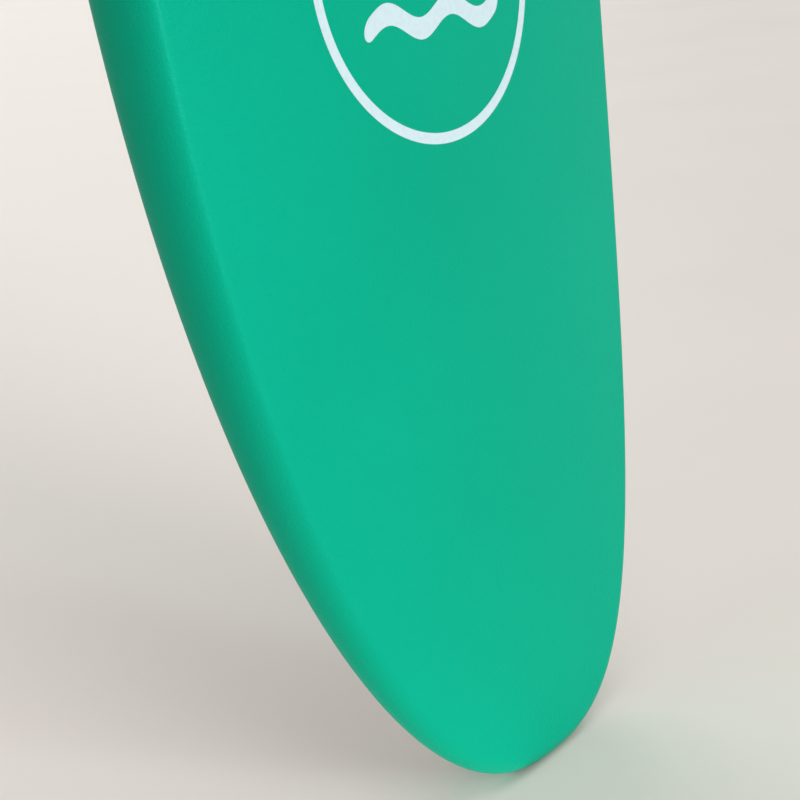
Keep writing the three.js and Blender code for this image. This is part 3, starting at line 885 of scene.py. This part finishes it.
def make_leash_cup():
    """A turned cup with a rounded flange, and the pin that the leash cord goes round.

    The profile runs up the outside, over the flange and down into the bore, and its short
    steps round the edges."""
    place = cup_place()
    depth = CUP_DEPTH
    profile = [(0, -depth), (CUP_BODY - MM, -depth), (CUP_BODY, -depth + MM), (CUP_BODY, -CUP_LIP)]
    profile += [(CUP_FLANGE - 0.2 * MM, -CUP_LIP / 2), (CUP_FLANGE, -0.7 * MM)]
    profile += [(CUP_FLANGE - 0.3 * MM, -0.25 * MM), (CUP_FLANGE - MM, 0.0), (CUP_BORE + MM, 0.0)]
    profile += [(CUP_BORE + 0.4 * MM, -0.15 * MM), (CUP_BORE, -0.7 * MM)]
    profile += [(CUP_BORE - 0.4 * MM, -depth + CUP_FLOOR + 3 * MM)]
    profile += [(CUP_BORE - 1.4 * MM, -depth + CUP_FLOOR + 0.9 * MM)]
    profile += [(CUP_BORE - 3 * MM, -depth + CUP_FLOOR), (0, -depth + CUP_FLOOR)]
    cup = lathe("leash_cup_moulded", profile, CUP_STEPS, place, BOX_PLASTIC)
    sideways = place @ Matrix.Translation((0, 0, -PIN_DEPTH)) @ Matrix.Rotation(math.pi / 2, 4, "Y")
    hole = prism(round_outline(PIN_RADIUS + GAP, PIN_STEPS), -CUP_BODY - MM, CUP_BODY + MM)
    bmesh.ops.transform(hole, matrix=sideways, verts=hole.verts)
    boolean_cut(cup, finish_mesh("pin_hole", hole, None))
    sharpen(cup)
    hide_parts("leash_cup")
    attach(cup, "board")
    reach = CUP_BODY - MM / 2
    bm = prism(round_outline(PIN_RADIUS, PIN_STEPS), -reach, reach, bevel=PIN_CHAMFER, segments=2)
    bmesh.ops.transform(bm, matrix=sideways, verts=bm.verts)
    pin = finish_mesh("leash_pin_rod", bm, STAINLESS)
    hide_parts("leash_pin")
    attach(pin, "board")


# ---- materials on the CAD nodes that stay ---------------------------------------------------


def dress_inner_nodes():
    """The core, stringers and blocks keep their CAD shapes and get real materials."""
    finishes = {
        "core_": BEAD_FOAM,
        "stringer_": TIMBER,
        "fin_block_": HARD_FOAM,
        "leash_block": HARD_FOAM,
    }
    for name, node in frame["nodes"].items():
        for start, material in finishes.items():
            if name.startswith(start):
                node.data.materials.clear()
                node.data.materials.append(material)


# ---- camera, floor and light ----------------------------------------------------------------

CAMERA_PLACE = (-998.0 * MM, BOTTOM_Y - 843.1 * MM, 681.2 * MM)
CAMERA_TURN = (math.radians(25.45), math.radians(47.59), math.radians(25.16))
CAMERA_LENS = 74.53
SENSOR = 36.0


def make_camera():
    """The camera looks at the nose from the deck's left, a little from above."""
    turn_x, turn_y, turn_z = CAMERA_TURN
    spin = Matrix.Rotation(turn_z, 3, "Z") @ Matrix.Rotation(turn_y, 3, "Y")
    spin = spin @ Matrix.Rotation(turn_x, 3, "X")
    board_axes = Matrix(((1, 0, 0), (0, 0, -1), (0, 1, 0)))
    camera = bpy.data.objects.new("camera", bpy.data.cameras.new("camera"))
    camera.data.sensor_width = SENSOR
    camera.data.lens = CAMERA_LENS
    turned = (board_axes @ spin.transposed()).to_4x4()
    camera.matrix_world = Matrix.Translation(CAMERA_PLACE) @ turned
    bpy.context.scene.collection.objects.link(camera)
    bpy.context.scene.camera = camera


FLOOR_REACH = 300.0  # so far out that its edge is never seen


def make_floor():
    """The floor that the nose stands on."""
    bm = bmesh.new()
    bmesh.ops.create_grid(bm, x_segments=24, y_segments=24, size=FLOOR_REACH)
    floor = finish_mesh("floor", bm, floor_material())


MIDDLE = (0.0, 0.0, 0.8)
SUN_DISTANCE = 5.0
WHITE = (1.0, 1.0, 1.0)
WARM = (1.0, 0.99, 0.97)
COOL = (0.7, 0.88, 1.0)

# Each sun's azimuth, elevation, strength, colour and width in degrees. Azimuth 0 is in front
# of the deck and 90 to its left.
SUNS = {
    "key": (14, 30, 1.28, WARM, 30),
    "top": (0, 78, 1.5, WHITE, 60),
    "fill": (-142, 30, 0.9, WHITE, 40),
    "window": (-10, 9, 1.15, COOL, 9),
}
BOUNCE_PLACE = (-0.42, -0.3, 0.003)
BOUNCE_TARGET = (-0.42, -0.3, 1.0)
BOUNCE_POWER = 2.0
BOUNCE_SIZE = (0.75, 0.9)


def aimed_lamp(name, kind, place, target, energy, colour):
    """A lamp at a place, turned to a target and hidden from the camera."""
    light = bpy.data.lights.new(name, kind)
    light.energy = energy
    light.color = colour
    lamp = bpy.data.objects.new(name, light)
    lamp.location = place
    lamp.rotation_euler = (Vector(target) - Vector(place)).to_track_quat("-Z", "Y").to_euler()
    lamp.visible_camera = False
    bpy.context.scene.collection.objects.link(lamp)
    return lamp


def from_direction(azimuth, elevation):
    """A place off in a direction from the board's middle."""
    turn = math.radians(azimuth)
    rise = math.radians(elevation)
    level = SUN_DISTANCE * math.cos(rise)
    height = MIDDLE[2] + SUN_DISTANCE * math.sin(rise)
    return (-level * math.sin(turn), -level * math.cos(turn), height)


def make_light():
    """A broad key in front of the deck, a top light, a fill behind, a narrow window low to the
    right, and light that comes up from the floor."""
    for name, (azimuth, elevation, strength, colour, width) in SUNS.items():
        place = from_direction(azimuth, elevation)
        sun = aimed_lamp(name, "SUN", place, MIDDLE, strength, colour)
        sun.data.angle = math.radians(width)
    bounce = aimed_lamp("bounce", "AREA", BOUNCE_PLACE, BOUNCE_TARGET, BOUNCE_POWER, WARM)
    bounce.data.shape = "RECTANGLE"
    bounce.data.size = BOUNCE_SIZE[0]
    bounce.data.size_y = BOUNCE_SIZE[1]
    # Its sharp outline would show as a line in the deck when seen from above.
    bounce.visible_glossy = False


HORIZON = (0.67, 0.625, 0.58)
ROOM = (0.25, 0.25, 0.25)
HORIZON_RISE = 0.03  # height of a direction, from 0 level to 1 straight up
ROOM_RISE = 0.30


def make_world():
    """A dim room that turns pale in a low band round the horizon."""
    world = bpy.data.worlds.new("studio")
    world.use_nodes = True
    tree = world.node_tree
    direction = tree.nodes.new("ShaderNodeTexCoord")
    split = tree.nodes.new("ShaderNodeSeparateXYZ")
    ramp = tree.nodes.new("ShaderNodeValToRGB")
    low, high = ramp.color_ramp.elements
    low.position = HORIZON_RISE
    low.color = (*HORIZON, 1.0)
    high.position = ROOM_RISE
    high.color = (*ROOM, 1.0)
    tree.links.new(direction.outputs["Generated"], split.inputs["Vector"])
    tree.links.new(split.outputs["Z"], ramp.inputs["Fac"])
    tree.links.new(ramp.outputs["Color"], tree.nodes["Background"].inputs["Color"])
    bpy.context.scene.world = world


# ---- build ----------------------------------------------------------------------------------

bpy.context.scene.view_settings.view_transform = "Standard"
make_camera()
fin_places = {name: fin_place(name) for name in SIDES}
make_deck_skin()
make_bottom_skin(fin_places)
make_ring()
for index, offset in enumerate((-WAVE_SPACING, 0.0, WAVE_SPACING), start=1):
    make_wave(f"deck_print_wave_{index}", offset)
for fin_name, place in fin_places.items():
    make_fin_box(fin_name, place)
    make_fin(fin_name, place)
    make_screw(fin_name, "front", -TAB_SPREAD, place)
    make_screw(fin_name, "back", TAB_SPREAD, place)
make_leash_cup()
dress_inner_nodes()
make_floor()
make_light()
make_world()
